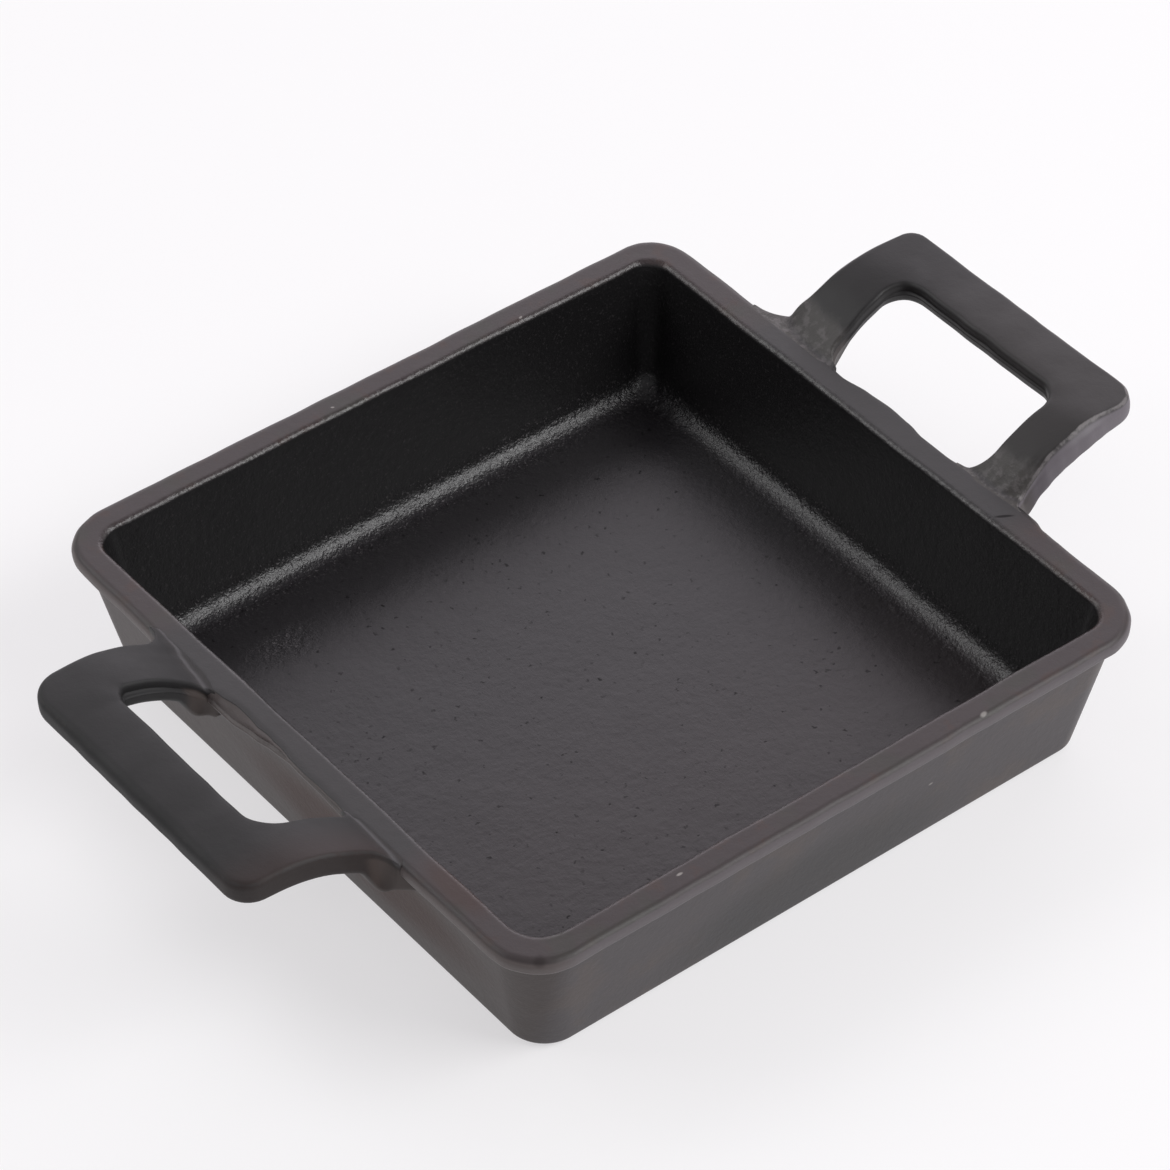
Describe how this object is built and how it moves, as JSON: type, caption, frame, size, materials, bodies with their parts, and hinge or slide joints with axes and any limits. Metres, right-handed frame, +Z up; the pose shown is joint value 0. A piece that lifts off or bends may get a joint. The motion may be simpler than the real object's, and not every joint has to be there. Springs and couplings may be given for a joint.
{
  "type": "cast iron pan",
  "caption": "Small square cast iron pan with drafted walls, a flat rim and raised loop handles on opposite sides, for frying, baking and serving",
  "frame": {"origin": "centre of the flat underside, on the table", "axes": "+X runs to the right handle, from handle to handle; +Y runs to the back side; +Z is up"},
  "size_m": [0.2148, 0.15, 0.0439],
  "materials": {
    "pan_iron": "seasoned sand casting, satin black with a fine grain",
    "handle_iron": "seasoned sand casting, matt dark grey with softly rounded edges"
  },
  "bodies": {
    "root": {"pan_floor": "pan_iron", "side_walls": "pan_iron", "rim_band": "pan_iron", "left_front_arm": "handle_iron", "left_back_arm": "handle_iron", "left_grip": "handle_iron", "right_front_arm": "handle_iron", "right_back_arm": "handle_iron", "right_grip": "handle_iron"}
  },
  "joints": []
}
